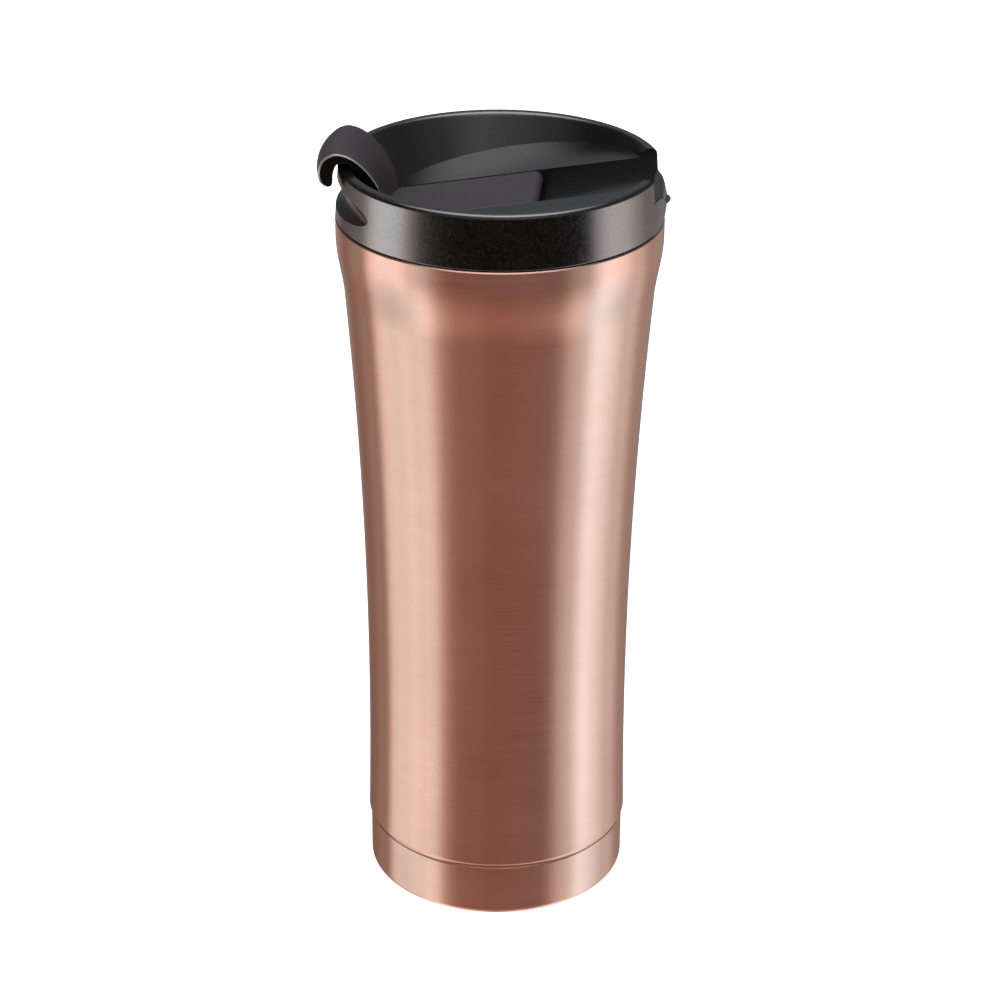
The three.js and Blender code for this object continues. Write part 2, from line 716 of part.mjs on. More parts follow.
const lever = groupOf(
  piece("flip_lever", flipLever(), "leverPlastic"),
  piece("seal_carrier", sealCarrier(), "blackPlastic"),
  piece("spout_stopper", spoutStopper(), "silicone"),
  piece("vent_stopper", ventStopper(), "silicone"),
);

const group = groupOf(cup, lid, lever);

export default group;
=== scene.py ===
"""Looks of the insulated tumbler: fine meshes, materials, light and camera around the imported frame."""
import math

import bmesh
import bpy
import numpy as np
from mathutils import Matrix, Vector


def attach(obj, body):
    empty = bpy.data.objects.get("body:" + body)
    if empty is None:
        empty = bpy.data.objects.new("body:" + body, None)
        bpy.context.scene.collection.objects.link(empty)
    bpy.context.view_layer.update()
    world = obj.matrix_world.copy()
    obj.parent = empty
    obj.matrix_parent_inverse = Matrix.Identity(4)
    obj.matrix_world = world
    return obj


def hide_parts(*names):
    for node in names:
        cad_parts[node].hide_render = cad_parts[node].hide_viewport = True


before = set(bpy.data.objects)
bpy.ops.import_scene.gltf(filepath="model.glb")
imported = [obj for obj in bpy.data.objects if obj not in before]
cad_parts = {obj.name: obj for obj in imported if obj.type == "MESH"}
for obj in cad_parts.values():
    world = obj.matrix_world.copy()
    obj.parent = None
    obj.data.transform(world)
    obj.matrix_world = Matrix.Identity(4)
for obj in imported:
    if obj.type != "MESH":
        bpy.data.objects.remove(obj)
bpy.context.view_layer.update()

MM = 0.001
GAP = 0.3  # clearance between neighbouring pieces, as in the frame
ROUND = 192  # facets of the large round surfaces

# Driving dimensions in millimetres, the same as the frame's unless a comment says otherwise
BAND_RADIUS = 35.0
BAND_TOP = 15.4  # 1.2 mm under the frame's, where the photograph shows the step
SEAM = 0.6  # open groove above the band
WAIST_RADIUS, WAIST_Z, WAIST_CURVE = 35.11, 52, 1400
SHOULDER_FOOT_Z, COLLAR_FOOT_Z, COLLAR_RADIUS = 170, 186, 42.2
LIP_Z = 190.5
STEEL = 0.5
LINER_INSET = 4.0
LINER_FOOT_Z, LINER_FLOOR_Z, LINER_BEND = 14, 10.4, 3
LEDGE_FOOT, LEDGE_TOP_Z, MOUTH_RADIUS = (36.8, 173.2), 176.5, 39.3

LID_FOOT_Z, RIM_Z = 190.8, 205
LID_RADIUS_LOW, LID_RADIUS_TOP = 42.1, 41.3
RIM_SOLID_Z, BAND_INNER_RADIUS = 197.5, 40.0
BOWL_TOP, BOWL_SLOPE, BOWL_FOOT_Z, BOWL_WALL_RADIUS = (37.3, 202.7), 0.457, 189, 34.6
BOWL_WALL_Z = 192.4  # the bowl wall's outer side turns inwards here
LID_WALL = 2.2

FLOOR_Z, FLOOR_TILT = 196.8, math.atan(0.163)
CHANNEL_Z, CHANNEL_TILT = 191.6, math.atan(0.211)
CHANNEL_HALF, POCKET_DEPTH, POCKET_RADIUS = 12.2, 4.7, 32.8
CATCH_RADIUS, LUG_SIZE, LUG_Z = 42.5, (2.2, 4.2, 2.3), 196.9
SCOOP_Z, SCOOP_DEPTH, SCOOP_HALF = 197.4, 2.9, (31.0, 3.8)  # half sizes along the band and in height

LEVER_HALF = CHANNEL_HALF - GAP
LEVER_THICK = POCKET_DEPTH - GAP
HINGE_X = 8.0
HINGE_Z = FLOOR_Z + HINGE_X * math.tan(FLOOR_TILT) - LEVER_THICK / 2 / math.cos(FLOOR_TILT)
PIN_BORE_RADIUS, PIN_HALF = 1.15, 14.0
CREASE_RADIUS = 29.5  # the hook rises out of the flat part here
CARRIER_S, CARRIER_HALF, RECESS_ROOF = (-29, -2.5), 8.6, -1.6

SPOUT_S, SPOUT_HALF = -22, (4.5, 6.5)
VENT_S, VENT_RADIUS = -6, 2.0

PLUG_RADIUS, PLUG_WALL, PLUG_FOOT_Z, PLUG_WAIST_RADIUS, PLUG_STEP_Z = 37.2, 1.8, 172.5, 35.4, 178.3
PLUG_FLANGE, PLUG_FOOT_RADIUS = (39.7, 192.0), 36.3
SEAL_THICK = 1.8
PAD_RADIUS, PAD_THICK = 29.7, 1.9

THREAD_LEAD, MALE_START_Z = 7, 180.5
MALE_CREST, FEMALE_CREST = 38.8, 38.3


# ---- Curves and sections, in millimetres ----
def arc(centre, radius, start, end, steps):
    """Points on a circle, from start to end in degrees."""
    turn = np.radians(np.linspace(start, end, steps + 1))
    return [(centre[0] + radius * math.cos(a), centre[1] + radius * math.sin(a)) for a in turn]


def bezier(points, steps):
    """A Bezier curve of any degree through its first and last point."""
    t = np.linspace(0, 1, steps + 1)[:, None]
    degree = len(points) - 1
    total = sum(
        math.comb(degree, i) * t**i * (1 - t) ** (degree - i) * np.array(p, float)
        for i, p in enumerate(points)
    )
    return [tuple(p) for p in total]


def spline(points, steps):
    """A Catmull-Rom curve through the points, with the same number of steps between each pair."""
    p = np.array([points[0], *points, points[-1]], float)
    out = []
    for i in range(1, len(p) - 2):
        for k in range(steps):
            t = k / steps
            a, b, c, d = p[i - 1], p[i], p[i + 1], p[i + 2]
            q = 2 * b + (c - a) * t + (2 * a - 5 * b + 4 * c - d) * t**2 + (3 * b - a - 3 * c + d) * t**3
            out.append(tuple(q / 2))
    return [*out, tuple(p[-1])]


def waist_radius(z):
    return WAIST_RADIUS + WAIST_CURVE - math.sqrt(WAIST_CURVE**2 - (z - WAIST_Z) ** 2)


def waisted(start, end, inset, steps):
    return [(waist_radius(z) - inset, z) for z in np.linspace(start, end, steps + 1)]


def shoulder(inset, steps):
    """The S-shaped shoulder between the long curve and the collar."""
    foot = waist_radius(SHOULDER_FOOT_Z)
    slope = (SHOULDER_FOOT_Z - WAIST_Z) / WAIST_CURVE
    reach = 6
    curve = bezier(
        [
            (foot, SHOULDER_FOOT_Z),
            (foot + reach * slope, SHOULDER_FOOT_Z + reach),
            (COLLAR_RADIUS, COLLAR_FOOT_Z - reach),
            (COLLAR_RADIUS, COLLAR_FOOT_Z),
        ],
        steps,
    )
    return [(r - inset, z) for r, z in curve]


def bowl_radius(z):
    return BOWL_TOP[0] - BOWL_SLOPE * (BOWL_TOP[1] - z)


# ---- Meshes ----
def new_object(name, vertices, faces):
    """A closed mesh object from points in millimetres, its faces turned outwards."""
    mesh = bpy.data.meshes.new(name)
    mesh.from_pydata([Vector(v) * MM for v in vertices], [], faces)
    obj = bpy.data.objects.new(name, mesh)
    bpy.context.scene.collection.objects.link(obj)
    tool = bmesh.new()
    tool.from_mesh(mesh)
    bmesh.ops.recalc_face_normals(tool, faces=tool.faces)
    tool.to_mesh(mesh)
    tool.free()
    return obj


def turned(name, section, facets=ROUND):
    """A body of revolution about Z.

    A section that starts on the axis also ends on it, and any other is a closed ring.
    """
    on_axis = section[0][0] == 0
    vertices, rows = [], []
    for r, z in section:
        if r == 0:
            rows.append([len(vertices)] * facets)
            vertices.append((0, 0, z))
            continue
        rows.append(list(range(len(vertices), len(vertices) + facets)))
        for k in range(facets):
            angle = 2 * math.pi * k / facets
            vertices.append((r * math.cos(angle), r * math.sin(angle), z))
    pairs = list(zip(rows, rows[1:]))
    if not on_axis:
        pairs.append((rows[-1], rows[0]))
    faces = []
    for low, high in pairs:
        for k in range(facets):
            j = (k + 1) % facets
            corners = [low[k], low[j], high[j], high[k]]
            faces.append(list(dict.fromkeys(corners)))
    return new_object(name, vertices, faces)


def lofted(name, loops):
    """A solid through loops of equal length, closed by flat caps."""
    count = len(loops[0])
    vertices = [p for loop in loops for p in loop]
    faces = []
    for i in range(len(loops) - 1):
        for k in range(count):
            j = (k + 1) % count
            faces.append((i * count + k, i * count + j, (i + 1) * count + j, (i + 1) * count + k))
    last = (len(loops) - 1) * count
    faces.append(tuple(range(count)))
    faces.append(tuple(range(last + count - 1, last - 1, -1)))
    return new_object(name, vertices, faces)


def prism(name, outline, half):
    """An outline in the XZ plane, as wide as half on both sides of it."""
    return lofted(name, [[(x, y, z) for x, z in outline] for y in (-half, half)])


def cross_cylinder(name, radius, half, x, z, facets=64):
    return prism(name, [(x + r, z + h) for r, h in arc((0, 0), radius, 0, 360, facets)[:-1]], half)


def block(name, xs, ys, zs):
    section = [(ys[0], zs[0]), (ys[1], zs[0]), (ys[1], zs[1]), (ys[0], zs[1])]
    return lofted(name, [[(x, y, z) for y, z in section] for x in xs])


def oval(name, s, half, levels, foot_scale=1.0, facets=64):
    """An upright oval prism or cone, centred on s along the lever."""
    loops = []
    for z, scale in ((levels[0], foot_scale), (levels[1], 1.0)):
        ring = arc((0, 0), 1, 0, 360, facets)[:-1]
        loops.append([(s + scale * half[0] * c, scale * half[1] * d, z) for c, d in ring])
    return lofted(name, loops)


def tilt(obj, angle, height):
    """Moves an object from a tilted plane's own coordinates to the frame."""
    obj.data.transform(Matrix.Translation((0, 0, height * MM)) @ Matrix.Rotation(-angle, 4, "Y"))
    return obj


def on_floor(obj):
    return tilt(obj, FLOOR_TILT, FLOOR_Z)


def on_channel(obj):
    return tilt(obj, CHANNEL_TILT, CHANNEL_Z)


def combine(body, operation, tools):
    """Joins tools to the body, cuts them from it or keeps what they share, and deletes them."""
    for tool in tools:
        modifier = body.modifiers.new("combine", "BOOLEAN")
        modifier.operation, modifier.solver, modifier.object = operation, "MANIFOLD", tool
        apply_modifiers(body)
        bpy.data.objects.remove(tool)
    return body


def apply_modifiers(obj):
    graph = bpy.context.evaluated_depsgraph_get()
    made = bpy.data.meshes.new_from_object(obj.evaluated_get(graph))
    obj.modifiers.clear()
    obj.data = made


def join(body, *tools):
    return combine(body, "UNION", tools)


def cut(body, *tools):
    return combine(body, "DIFFERENCE", tools)


def common(body, *tools):
    return combine(body, "INTERSECT", tools)


def smooth(obj, angle=32):
    """Smooth shading with hard edges kept, and large flat faces kept flat."""
    obj.data.shade_smooth()
    obj.data.set_sharp_from_angle(angle=math.radians(angle))
    weighted = obj.modifiers.new("normals", "WEIGHTED_NORMAL")
    weighted.keep_sharp = True
    weighted.weight = 80
    apply_modifiers(obj)
    return obj


def place(obj, body, nodes, material):
    """Finishes a piece: its material, the body it rides on and the frame nodes it stands for."""
    obj.data.materials.clear()
    obj.data.materials.append(material)
    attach(obj, body)
    if nodes:
        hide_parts(*nodes)
    return obj


def thread_ridge(name, root_radius, crest_radius, start_z, start_turn, turns):
    """A helical ridge with rounded crest and run-out ends."""
    section = ((-1.1, 0), (-0.8, 0.5), (-0.45, 0.9), (0, 1), (0.45, 0.9), (0.8, 0.5), (1.1, 0))
    steps = int(turns * 120)
    run_out = 8  # steps over which an end fades
    depth = crest_radius - root_radius
    loops = []
    for i in range(steps + 1):
        turn = start_turn + turns * i / steps
        angle = 2 * math.pi * turn
        middle = start_z + THREAD_LEAD * turn
        fade = min(1.0, min(i, steps - i) / run_out)
        fade = max(0.05, math.sin(fade * math.pi / 2))
        loop = []
        for across, high in section:
            r = root_radius + depth * high * fade
            loop.append((r * math.cos(angle), r * math.sin(angle), middle + across * fade))
        loops.append(loop)
    return lofted(name, loops)


# ---- Materials ----
def material(name, **inputs):
    """A Principled material. Values that are the same all over go straight on the shader's sockets."""
    made = bpy.data.materials.new(name)
    made.use_nodes = True
    shader = made.node_tree.nodes["Principled BSDF"]
    for socket, value in inputs.items():
        shader.inputs[socket.replace("_", " ")].default_value = value
    return made, made.node_tree.nodes, made.node_tree.links, shader


def value_map(nodes, links, source, low, high, from_low=0.3, from_high=0.7):
    node = nodes.new("ShaderNodeMapRange")
    for socket, value in (("From Min", from_low), ("From Max", from_high), ("To Min", low), ("To Max", high)):
        node.inputs[socket].default_value = value
    links.new(source, node.inputs["Value"])
    return node.outputs["Result"]


def colour_mix(nodes, links, factor, dark, light):
    node = nodes.new("ShaderNodeMix")
    node.data_type = "RGBA"
    node.inputs["A"].default_value = (*dark, 1)
    node.inputs["B"].default_value = (*light, 1)
    links.new(factor, node.inputs["Factor"])
    return node.outputs["Result"]


def noise(nodes, links, vector, scale, detail=3.0, roughness=0.5):
    node = nodes.new("ShaderNodeTexNoise")
    node.inputs["Scale"].default_value = scale
    node.inputs["Detail"].default_value = detail
    node.inputs["Roughness"].default_value = roughness
    links.new(vector, node.inputs["Vector"])
    return node.outputs["Fac"]


def bump(nodes, links, height, strength, distance):
    node = nodes.new("ShaderNodeBump")
    node.inputs["Strength"].default_value = strength
    node.inputs["Distance"].default_value = distance
    links.new(height, node.inputs["Height"])
    return node.outputs["Normal"]


def place_coordinates(nodes):
    return nodes.new("ShaderNodeTexCoord").outputs["Object"]


def round_coordinates(nodes, links, around, along):
    """Coordinates from the direction and the height, so that noise runs round a turned surface."""
    position = place_coordinates(nodes)
    split = nodes.new("ShaderNodeSeparateXYZ")
    links.new(position, split.inputs["Vector"])
    flat = nodes.new("ShaderNodeCombineXYZ")
    links.new(split.outputs["X"], flat.inputs["X"])
    links.new(split.outputs["Y"], flat.inputs["Y"])
    unit = nodes.new("ShaderNodeVectorMath")
    unit.operation = "NORMALIZE"
    links.new(flat.outputs["Vector"], unit.inputs[0])
    scaled = nodes.new("ShaderNodeVectorMath")
    scaled.operation = "SCALE"
    scaled.inputs["Scale"].default_value = around
    links.new(unit.outputs["Vector"], scaled.inputs[0])
    height = nodes.new("ShaderNodeMath")
    height.operation = "MULTIPLY"
    height.inputs[1].default_value = along
    links.new(split.outputs["Z"], height.inputs[0])
    lift = nodes.new("ShaderNodeCombineXYZ")
    links.new(height.outputs["Value"], lift.inputs["Z"])
    both = nodes.new("ShaderNodeVectorMath")
    both.operation = "ADD"
    links.new(scaled.outputs["Vector"], both.inputs[0])
    links.new(lift.outputs["Vector"], both.inputs[1])
    return both.outputs["Vector"]


def brushed_steel(name, dark, light, roughness=0.30, anisotropy=0.75, streak=0.10):
    """Metal brushed round the cup: long fine streaks, with the reflection drawn out across them."""
    metal = {"Metallic": 1.0, "Anisotropic": anisotropy, "Anisotropic_Rotation": 0.25}
    made, nodes, links, shader = material(name, **metal)
    tangent = nodes.new("ShaderNodeTangent")
    tangent.direction_type, tangent.axis = "RADIAL", "Z"
    links.new(tangent.outputs["Tangent"], shader.inputs["Tangent"])
    fine = noise(nodes, links, round_coordinates(nodes, links, 1.6, 5200), 1.0, 4.0, 0.6)
    broad = noise(nodes, links, round_coordinates(nodes, links, 2.6, 420), 1.0, 4.0, 0.6)
    cloud = noise(nodes, links, place_coordinates(nodes), 26, 3.0)
    added = nodes.new("ShaderNodeMath")
    added.operation = "ADD"
    links.new(fine, added.inputs[0])
    links.new(broad, added.inputs[1])
    tone = value_map(nodes, links, added.outputs["Value"], 0, 1, 0.65, 1.35)
    links.new(colour_mix(nodes, links, tone, dark, light), shader.inputs["Base Color"])
    rough = nodes.new("ShaderNodeMath")
    rough.operation = "ADD"
    links.new(value_map(nodes, links, fine, roughness - streak / 2, roughness + streak / 2), rough.inputs[0])
    links.new(value_map(nodes, links, cloud, -0.02, 0.02), rough.inputs[1])
    links.new(rough.outputs["Value"], shader.inputs["Roughness"])
    links.new(bump(nodes, links, fine, 0.03, 0.00004), shader.inputs["Normal"])
    return made


def grained_plastic(name, dark, light, roughness, grain, strength, depth=0.00006, specular=0.5, ior=1.5):
    """Moulded plastic or rubber with a fine spark-eroded grain and faint handling marks."""
    made, nodes, links, shader = material(name, Specular_IOR_Level=specular, IOR=ior)
    position = place_coordinates(nodes)
    fine = noise(nodes, links, position, grain, 2.0, 0.6)
    cloud = noise(nodes, links, position, 60, 4.0, 0.6)
    links.new(colour_mix(nodes, links, cloud, dark, light), shader.inputs["Base Color"])
    rough = nodes.new("ShaderNodeMath")
    rough.operation = "ADD"
    links.new(value_map(nodes, links, fine, roughness - 0.05, roughness + 0.05), rough.inputs[0])
    links.new(value_map(nodes, links, cloud, -0.03, 0.03), rough.inputs[1])
    links.new(rough.outputs["Value"], shader.inputs["Roughness"])
    links.new(bump(nodes, links, fine, strength, depth), shader.inputs["Normal"])
    return made


def crinkled_foil():
    made, nodes, links, shader = material("foil", Metallic=1.0)
    position = place_coordinates(nodes)
    creases = nodes.new("ShaderNodeTexVoronoi")
    creases.inputs["Scale"].default_value = 180
    links.new(position, creases.inputs["Vector"])
    cloud = noise(nodes, links, position, 90, 3.0)
    colour = colour_mix(nodes, links, cloud, (0.62, 0.62, 0.63), (0.84, 0.84, 0.85))
    links.new(colour, shader.inputs["Base Color"])
    links.new(value_map(nodes, links, cloud, 0.15, 0.32), shader.inputs["Roughness"])
    links.new(bump(nodes, links, creases.outputs["Distance"], 0.5, 0.0006), shader.inputs["Normal"])
    return made


def solder_glass():
    made, nodes, links, shader = material("solder_glass", IOR=1.6, Coat_Weight=0.3)
    cloud = noise(nodes, links, place_coordinates(nodes), 700, 4.0)
    colour = colour_mix(nodes, links, cloud, (0.02, 0.03, 0.028), (0.07, 0.09, 0.08))
    links.new(colour, shader.inputs["Base Color"])
    links.new(value_map(nodes, links, cloud, 0.08, 0.25), shader.inputs["Roughness"])
    return made


ROSE = brushed_steel("rose_steel", (0.77, 0.475, 0.375), (0.83, 0.525, 0.425), 0.30, 0.95, 0.05)
STEEL_LOOK = brushed_steel("plain_steel", (0.50, 0.49, 0.48), (0.66, 0.65, 0.63), 0.28)
BLACK = grained_plastic(
    "black_plastic", (0.003, 0.003, 0.0033), (0.006, 0.006, 0.0065),
    roughness=0.22, grain=1400, strength=0.1, depth=0.00004, specular=0.85, ior=1.9,
)
# Painted light: the lever's top and outer faces get a lighter grey than the black plastic it is made of, as
# if lit from above
LEVER_TOP_PAINTED_LIT = grained_plastic(
    "lever_plastic", (0.062, 0.057, 0.060), (0.074, 0.068, 0.071),
    roughness=0.48, grain=4200, strength=0.2,
)
LEVER_SIDE = grained_plastic(
    "lever_side", (0.005, 0.005, 0.005), (0.008, 0.008, 0.008),
    roughness=0.5, grain=1400, strength=0.1, depth=0.00004, specular=0.2, ior=1.45,
)
# Painted highlight: a light grey on the black plastic along the hook's side edges, where the rounded edge
# would catch the light; the lower roughness and higher specular give the edge its gloss
LEVER_EDGE_PAINTED_HIGHLIGHT = grained_plastic(
    "lever_edge_painted_highlight", (0.34, 0.33, 0.34), (0.42, 0.41, 0.42),
    roughness=0.3, grain=4200, strength=0.1, specular=1, ior=2,
)
SILICONE = grained_plastic(
    "silicone", (0.016, 0.016, 0.017), (0.028, 0.028, 0.029),
    roughness=0.62, grain=1600, strength=0.15,
)
GETTER = grained_plastic(
    "getter", (0.06, 0.06, 0.062), (0.16, 0.16, 0.165),
    roughness=0.75, grain=2400, strength=0.6,
)
FOIL = crinkled_foil()
GLASS = solder_glass()


# ---- Cup ----
def outer_shell():
    foot = BAND_TOP + SEAM
    edge = 0.9  # the lower edge is rolled in, and draws the bright line above the band
    base = waist_radius(foot)
    outside = [
        *arc((base - edge, foot + edge), edge, -90, 0, 8),
        *waisted(foot + 1.2, SHOULDER_FOOT_Z, 0, 40),
        *shoulder(0, 22)[1:],
        (COLLAR_RADIUS, LIP_Z - 0.3),
        (COLLAR_RADIUS - 0.25, LIP_Z),
    ]
    inside = [
        (COLLAR_RADIUS - STEEL, LIP_Z),
        *shoulder(STEEL, 10)[:0:-1],
        *waisted(foot, SHOULDER_FOOT_Z, STEEL, 12)[::-1],
    ]
    return place(smooth(turned("shell_wall", [*outside, *inside])), "cup", ["outer_shell"], ROSE)


def base_cap():
    neck = waist_radius(BAND_TOP) - STEEL - GAP
    neck_top = BAND_TOP + 4.5
    sheet = 0.8
    floor = PAD_THICK + GAP
    recess = PAD_RADIUS + GAP
    bend, edge = 1.5, 0.5  # roundings below and above the band
    hole, dimple = 0.8, floor + 1.4  # the hole the air is drawn out through, in the sealing dimple
    outside = [
        (hole, dimple),
        *arc((4.4, floor + 0.8), 0.6, 90, 20, 5),
        (6, floor),
        (recess, floor),
        *arc((recess + 0.3, 0.8), 0.3, 180, 270, 4),
        *arc((BAND_RADIUS - bend, 0.5 + bend), bend, -90, 0, 10),
        *arc((BAND_RADIUS - edge, BAND_TOP - edge), edge, 0, 62, 6),
        (BAND_RADIUS - edge, BAND_TOP),
        (neck, BAND_TOP),
        (neck, neck_top),
    ]
    inner = BAND_RADIUS - sheet - 0.3
    inside = [
        (neck - sheet, neck_top),
        (inner, BAND_TOP - 1),
        (inner, floor + sheet + 1.5),
        (inner - 1.5, floor + sheet),
        (7, floor + sheet),
        (6, dimple + sheet),
        (hole, dimple + sheet),
    ]
    return place(smooth(turned("base_band", [*outside, *inside])), "cup", ["base_cap"], ROSE)


def liner():
    top = SHOULDER_FOOT_Z - 2
    lip = COLLAR_RADIUS - STEEL - GAP
    foot = waist_radius(LINER_FOOT_Z) - LINER_INSET
    floor = LINER_FLOOR_Z
    inside = [
        *bezier([(foot - LINER_BEND, floor + STEEL), (foot, floor + STEEL), (foot, LINER_FOOT_Z)], 8)[:-1],
        *waisted(LINER_FOOT_Z, top, LINER_INSET, 30),
        *bezier([LEDGE_FOOT, (LEDGE_FOOT[0] + 1.5, LEDGE_FOOT[1] + 1.2), (MOUTH_RADIUS, LEDGE_TOP_Z)], 8),
        (MOUTH_RADIUS, LIP_Z - 0.7),
        *arc((MOUTH_RADIUS + 0.7, LIP_Z - 0.7), 0.7, 180, 90, 6),
        (lip, LIP_Z),
    ]
    outside = [
        *bezier([(foot - LINER_BEND, floor), (foot + STEEL, floor), (foot + STEEL, LINER_FOOT_Z)], 8)[:-1],
        *waisted(LINER_FOOT_Z, top, LINER_INSET - STEEL, 12),
        (LEDGE_FOOT[0] + STEEL, LEDGE_FOOT[1] - 0.3),
        (MOUTH_RADIUS + STEEL, LEDGE_TOP_Z - 0.3),
        (MOUTH_RADIUS + STEEL, LIP_Z - 1.0),
        (MOUTH_RADIUS + 0.9, LIP_Z - STEEL),
        (lip, LIP_Z - STEEL),
    ]
    wall = turned("liner_body", [*outside, *inside[::-1]])
    start = MALE_START_Z + THREAD_LEAD / 2
    ridge = thread_ridge("ridge", MOUTH_RADIUS + 0.2, FEMALE_CREST, start, -0.5, 0.95)
    return place(smooth(join(wall, ridge)), "cup", ["liner_wall"], STEEL_LOOK)


def liner_bottom():
    edge = waist_radius(LINER_FOOT_Z) - LINER_INSET - LINER_BEND - GAP
    top = LINER_FLOOR_Z + STEEL
    section = [(0, LINER_FLOOR_Z), (edge, LINER_FLOOR_Z), (edge, top - 0.1), (edge - 0.1, top), (0, top)]
    return place(smooth(turned("liner_floor", section)), "cup", ["liner_bottom"], STEEL_LOOK)


def foot_pad():
    """Silicone disc with three moulded grip rings on its resting face."""
    raised = 0.25  # height of the face between the rings and the rim it stands on
    face = [(0, raised), (9.0, raised)]
    for ring in (10, 17, 24):
        face += [(ring, raised), *arc((ring + 1.2, raised), 0.25, 180, 360, 6), (ring + 2.4, raised)]
    edge = 0.5
    section = [
        *face,
        (PAD_RADIUS - 2.2, raised),
        (PAD_RADIUS - 2.0, 0),
        *arc((PAD_RADIUS - edge, edge), edge, -90, 0, 5),
        (PAD_RADIUS, PAD_THICK),
        (0, PAD_THICK),
    ]
    return place(smooth(turned("grip_pad", section)), "cup", ["foot_pad"], SILICONE)


# ---- Lid ----
def cylinder(name, radius, low=150, high=230):
    return turned(name, [(0, low), (radius, low), (radius, high), (0, high)])


def rim_section():
    """Band, rounded rim and bowl wall, with the hollow between them open below."""
    lip = 1.2
    hollow = bowl_radius(RIM_SOLID_Z) + 2
    inner_lip = (LID_RADIUS_TOP - 2.4, RIM_Z)
    return [
        *arc((LID_RADIUS_LOW - 0.35, LID_FOOT_Z + 0.35), 0.35, -90, 0, 4),
        *arc((LID_RADIUS_TOP - lip, RIM_Z - lip), lip, 0, 90, 10),
        *bezier([inner_lip, (BOWL_TOP[0] + 0.9, RIM_Z), BOWL_TOP], 10),
        (bowl_radius(BOWL_FOOT_Z), BOWL_FOOT_Z),
        (BOWL_WALL_RADIUS, BOWL_FOOT_Z),
        (BOWL_WALL_RADIUS, BOWL_WALL_Z),
        (hollow, RIM_SOLID_Z),
        (BAND_INNER_RADIUS, RIM_SOLID_Z),
        (BAND_INNER_RADIUS, LID_FOOT_Z),
    ]


def bowl_floor():
    """The tilted floor, thin on both sides and thick under the lever's channel."""
    section = [
        (0, 170),
        (BOWL_WALL_RADIUS, 170),
        (BOWL_WALL_RADIUS, BOWL_WALL_Z),
        (BOWL_TOP[0] + 1, BOWL_TOP[1]),
        (0, BOWL_TOP[1]),
    ]
    disc = turned("disc", section)
    slab = on_floor(block("slab", (-60, 60), (-60, 60), (-POCKET_DEPTH - LID_WALL, 0)))
    floor = common(disc, slab)
    side = CHANNEL_HALF + LID_WALL
    inner = BOWL_WALL_RADIUS - LID_WALL
    for y in ((side, 60), (-60, -side)):
        hollow = common(cylinder("hollow", inner), on_floor(block("under", (-60, 60), y, (-20, -LID_WALL))))
        floor = cut(floor, hollow)
    return floor



def band_radius(z):
    rise = (z - LID_FOOT_Z) / (RIM_Z - 1.2 - LID_FOOT_Z)
    return LID_RADIUS_LOW + (LID_RADIUS_TOP - LID_RADIUS_LOW) * min(max(rise, 0), 1)


def scoop_cutter():
    """The finger scoop as a solid: its inner side is the scoop's surface, and it clears the band round it."""
    outer, above = 47.0, 5  # the solid's outer radius, and its reach above and below the scoop's middle
    loops = []
    for a in np.linspace(-0.86, 0.86, 100):
        loop = []
        for z in np.linspace(SCOOP_Z - above, SCOOP_Z + above, 30):
            along = a * LID_RADIUS_TOP / SCOOP_HALF[0]
            inside = 1 - abs(along) ** 3 - ((z - SCOOP_Z) / SCOOP_HALF[1]) ** 2
            r = band_radius(z) - SCOOP_DEPTH * max(inside, -0.35)
            loop.append((-r * math.cos(a), -r * math.sin(a), z))
        for z in (SCOOP_Z + above, SCOOP_Z - above):
            loop.append((-outer * math.cos(a), -outer * math.sin(a), z))
        loops.append(loop)
    return lofted("scoop", loops)


def scoop_backing():
    """Thickens the band behind the scoop."""
    centre, tube = LID_RADIUS_TOP + 0.4 - SCOOP_DEPTH + 4.05, 7.2
    half_size = 30.5, 5.2  # along the band and in height
    ring = turned("backing", arc((centre, SCOOP_Z), tube, 0, 352.5, 47))
    circle = arc((0, 0), 1, 0, 360, 64)[:-1]
    outline = [(half_size[0] * y, SCOOP_Z + half_size[1] * z) for y, z in circle]
    lens = lofted("lens", [[(x, y, z) for y, z in outline] for x in (-60, 0)])
    return common(ring, lens, cylinder("limit", BAND_INNER_RADIUS + 1))


def notch_fall():
    """What lies above the notch's floor where it rounds over to the outside."""
    over = bezier([(37.4, 199.49), (40.2, 200.1), (41.6, 198.3)], 12)
    edge = bezier([(41.6, 198.3), (42.15, 197.6), (42.3, 196.9), (42.52, 196.0)], 8)[1:]
    return prism("fall", [*over, *edge, (50, 196.0), (50, 206), (37.4, 206)], CHANNEL_HALF)


def catch_panel():
    """The band swells a little under the notch and runs out softly on both sides."""
    inner, reach = 40.4, 0.33  # radius inside the band; half of the swelling's length in radians
    rises = [(LID_FOOT_Z, -0.05), (191.5, 0.1), (192.6, 0.55), (193.8, 0.88), (195, 1), (197, 1), (199, 1)]
    loops = []
    for a in np.linspace(-reach, reach, 41):
        swell = (CATCH_RADIUS - band_radius(196)) * math.cos(a / reach * math.pi / 2) ** 0.8 - 0.02
        outside = [(band_radius(z) + swell * rise, z) for z, rise in rises]
        loop = [(inner, 199), (inner, LID_FOOT_Z), *outside]
        loops.append([(r * math.cos(a), r * math.sin(a), z) for r, z in loop])
    return lofted("panel", loops)


def catch_lug():
    """Small rounded lug under the notch."""
    section = [(0, -1), *arc((0, 0), 1, -80, 80, 20), (0, 1)]
    lug = turned("lug", section, 48)
    lug.data.transform(Matrix.Diagonal((*LUG_SIZE, 1)))
    lug.data.transform(Matrix.Translation(((LID_RADIUS_TOP + 0.2) * MM, 0, LUG_Z * MM)))
    return lug


